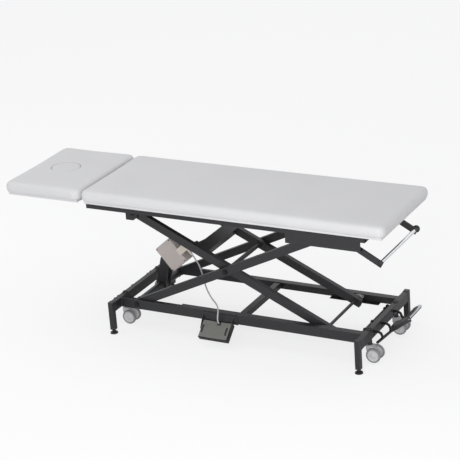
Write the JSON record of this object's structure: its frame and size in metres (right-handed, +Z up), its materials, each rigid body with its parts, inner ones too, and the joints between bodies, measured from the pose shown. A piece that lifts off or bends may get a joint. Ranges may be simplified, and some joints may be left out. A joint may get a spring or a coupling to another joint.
{
  "type": "massage table",
  "caption": "Powered massage table with a white padded top, tilting head section, face opening, black scissor base, pedal-lowered casters, foot switch and roll holder.",
  "frame": {"origin": "center of the base footprint under the middle of the cushions, on the floor", "axes": "+X runs from the head end to the foot end, +Y away from the side with the foot switch, +Z up"},
  "size_m": [2, 0.622, 0.7214],
  "materials": {
    "black_steel": "satin",
    "white_vinyl": "matte",
    "board_lining": "matte",
    "beige_plastic": "matte",
    "grey_plastic": "matte",
    "bright_steel": "satin",
    "chrome_rod": "polished",
    "pale_plastic": "matte",
    "wheel_plastic": "matte",
    "black_plastic": "matte",
    "grey_paint": "matte"
  },
  "bodies": {
    "base": {"rail_near": "black_steel", "rail_far": "black_steel", "head_cross_tube": "black_steel", "foot_cross_tube": "black_steel", "mid_cross_tube": "black_steel", "legs": "black_steel", "stem_guides": "black_plastic", "shaft_brackets": "black_steel", "switch_hanger": "black_steel", "switch_base": "black_plastic", "switch_cable": "grey_plastic"},
    "outer_arms": {"outer_arm_near": "black_steel", "outer_arm_far": "black_steel", "torsion_tube": "black_steel", "actuator_levers": "black_steel", "control_box": "beige_plastic", "box_gland": "grey_plastic"},
    "inner_arms": {"inner_arm_near": "black_steel", "inner_arm_far": "black_steel", "push_tube": "black_steel", "lower_axle": "black_steel", "centre_shaft": "bright_steel"},
    "lower_rollers": {"lower_rollers": "pale_plastic"},
    "upper_rollers": {"upper_rollers": "pale_plastic"},
    "actuator_housing": {"actuator_housing": "black_plastic"},
    "actuator_rod": {"actuator_rod": "black_steel"},
    "top_frame": {"top_rail_near": "black_steel", "top_rail_far": "black_steel", "top_cross_members": "black_steel", "roller_channels": "black_steel", "pivot_brackets": "black_steel", "main_board": "board_lining", "main_cushion": "white_vinyl", "roll_arms": "black_steel"},
    "roll_rod": {"roll_rod": "chrome_rod", "roll_knob": "black_plastic"},
    "head_section": {"head_hinge_leaves": "black_steel", "head_board": "board_lining", "head_cushion": "white_vinyl"},
    "face_plug": {"face_plug": "white_vinyl"},
    "pedal": {"pedal_lever": "black_steel", "pedal_tread": "bright_steel"},
    "head_lift_shaft": {"head_lift_shaft": "black_steel"},
    "link_rod": {"link_rod": "black_steel"},
    "foot_stems": {"foot_stems": "black_steel"},
    "head_stems": {"head_stems": "black_steel"},
    "switch_pads": {"switch_pads": "grey_paint"},
    "foot_head_near": {"foot_head_near": "black_plastic"},
    "foot_head_far": {"foot_head_far": "black_plastic"},
    "foot_foot_near": {"foot_foot_near": "black_plastic"},
    "foot_foot_far": {"foot_foot_far": "black_plastic"},
    "yoke_head_near": {"yoke_head_near": "pale_plastic"},
    "yoke_head_far": {"yoke_head_far": "pale_plastic"},
    "yoke_foot_near": {"yoke_foot_near": "pale_plastic"},
    "yoke_foot_far": {"yoke_foot_far": "pale_plastic"},
    "wheels_head_near": {"wheels_head_near": "wheel_plastic"},
    "wheels_head_far": {"wheels_head_far": "wheel_plastic"},
    "wheels_foot_near": {"wheels_foot_near": "wheel_plastic"},
    "wheels_foot_far": {"wheels_foot_far": "wheel_plastic"}
  },
  "joints": [
    {"name": "lift", "type": "hinge", "parent": "base", "child": "outer_arms", "pos_m": [-0.336, 0, 0.137], "axis": [0, -1, 0], "range_deg": [-13, 12.5], "deforming": ["switch_cable"]},
    {"name": "crossing", "type": "hinge", "parent": "outer_arms", "child": "inner_arms", "pos_m": [0.15794, 0, 0.36733], "axis": [0, -1, 0], "range_deg": [-25.5, 26.5]},
    {"name": "top_pivot", "type": "hinge", "parent": "inner_arms", "child": "top_frame", "pos_m": [-0.336, 0, 0.59765], "axis": [0, -1, 0], "range_deg": [-13.5, 13]},
    {"name": "actuator_swing", "type": "hinge", "parent": "outer_arms", "child": "actuator_housing", "pos_m": [-0.303, 0.045, 0.275], "axis": [0, -1, 0], "range_deg": [-11.68, 11.25]},
    {"name": "actuator_stroke", "type": "slide", "parent": "actuator_housing", "child": "actuator_rod", "axis": [0.8805, 0, 0.474], "range_m": [-0.057, 0.055]},
    {"name": "lower_roller_turn", "type": "hinge", "parent": "inner_arms", "child": "lower_rollers", "pos_m": [0.65187, 0, 0.137], "axis": [0, 1, 0], "continuous": true},
    {"name": "upper_roller_turn", "type": "hinge", "parent": "outer_arms", "child": "upper_rollers", "pos_m": [0.65187, 0, 0.59765], "axis": [0, 1, 0], "continuous": true},
    {"name": "head_tilt", "type": "hinge", "parent": "top_frame", "child": "head_section", "pos_m": [-0.571, 0, 0.64266], "axis": [0, -1, 0], "range_deg": [-5, 60]},
    {"name": "face_plug_lift", "type": "slide", "parent": "head_section", "child": "face_plug", "axis": [0, 0, 1], "range_m": [0, 0.1]},
    {"name": "roll_turn", "type": "hinge", "parent": "top_frame", "child": "roll_rod", "pos_m": [0.949, 0, 0.51665], "axis": [0, 1, 0], "continuous": true},
    {"name": "pedal_press", "type": "hinge", "parent": "base", "child": "pedal", "pos_m": [0.8105, 0, 0.122], "axis": [0, 1, 0], "range_deg": [0, 13.7]},
    {"name": "head_lift_turn", "type": "hinge", "parent": "base", "child": "head_lift_shaft", "pos_m": [-0.4865, 0, 0.122], "axis": [0, 1, 0], "range_deg": [-0.5, 14.2]},
    {"name": "link_turn", "type": "hinge", "parent": "pedal", "child": "link_rod", "pos_m": [0.81384, -0.09, 0.0942], "axis": [0, 1, 0], "range_deg": [-14.2, 0.5]},
    {"name": "foot_casters_lower", "type": "slide", "parent": "base", "child": "foot_stems", "axis": [0, 0, -1], "range_m": [-0.0005, 0.0128]},
    {"name": "head_casters_lower", "type": "slide", "parent": "base", "child": "head_stems", "axis": [0, 0, -1], "range_m": [-0.0005, 0.0128]},
    {"name": "switch_rock", "type": "hinge", "parent": "base", "child": "switch_pads", "pos_m": [0.1125, -0.26019, 0.08154], "axis": [0, -0.766, -0.6428], "range_deg": [-3, 3], "stiffness_Nm_per_rad": 6},
    {"name": "foot_head_near_adjust", "type": "slide", "parent": "base", "child": "foot_head_near", "axis": [0, 0, 1], "range_m": [-0.008, 0]},
    {"name": "swivel_head_near", "type": "hinge", "parent": "head_stems", "child": "yoke_head_near", "pos_m": [-0.4365, -0.158, 0.08], "axis": [0, 0, 1], "continuous": true},
    {"name": "wheels_head_near_turn", "type": "hinge", "parent": "yoke_head_near", "child": "wheels_head_near", "pos_m": [-0.4115, -0.158, 0.041], "axis": [0, 1, 0], "continuous": true},
    {"name": "foot_head_far_adjust", "type": "slide", "parent": "base", "child": "foot_head_far", "axis": [0, 0, 1], "range_m": [-0.008, 0]},
    {"name": "swivel_head_far", "type": "hinge", "parent": "head_stems", "child": "yoke_head_far", "pos_m": [-0.4365, 0.158, 0.08], "axis": [0, 0, 1], "continuous": true},
    {"name": "wheels_head_far_turn", "type": "hinge", "parent": "yoke_head_far", "child": "wheels_head_far", "pos_m": [-0.4115, 0.158, 0.041], "axis": [0, 1, 0], "continuous": true},
    {"name": "foot_foot_near_adjust", "type": "slide", "parent": "base", "child": "foot_foot_near", "axis": [0, 0, 1], "range_m": [-0.008, 0]},
    {"name": "swivel_foot_near", "type": "hinge", "parent": "foot_stems", "child": "yoke_foot_near", "pos_m": [0.8605, -0.158, 0.08], "axis": [0, 0, 1], "continuous": true},
    {"name": "wheels_foot_near_turn", "type": "hinge", "parent": "yoke_foot_near", "child": "wheels_foot_near", "pos_m": [0.8855, -0.158, 0.041], "axis": [0, 1, 0], "continuous": true},
    {"name": "foot_foot_far_adjust", "type": "slide", "parent": "base", "child": "foot_foot_far", "axis": [0, 0, 1], "range_m": [-0.008, 0]},
    {"name": "swivel_foot_far", "type": "hinge", "parent": "foot_stems", "child": "yoke_foot_far", "pos_m": [0.8605, 0.158, 0.08], "axis": [0, 0, 1], "continuous": true},
    {"name": "wheels_foot_far_turn", "type": "hinge", "parent": "yoke_foot_far", "child": "wheels_foot_far", "pos_m": [0.8855, 0.158, 0.041], "axis": [0, 1, 0], "continuous": true}
  ],
  "couplings": [
    {"joint": "crossing", "follows": "lift", "ratio": -2},
    {"joint": "top_pivot", "follows": "lift", "ratio": 1},
    {"joint": "actuator_swing", "follows": "lift", "ratio": 0.86},
    {"joint": "actuator_stroke", "follows": "lift", "m_per_rad": 0.2452},
    {"joint": "head_lift_turn", "follows": "pedal_press", "ratio": 1},
    {"joint": "link_turn", "follows": "pedal_press", "ratio": -1},
    {"joint": "foot_casters_lower", "follows": "pedal_press", "m_per_rad": 0.0512},
    {"joint": "head_casters_lower", "follows": "pedal_press", "m_per_rad": 0.0512}
  ]
}
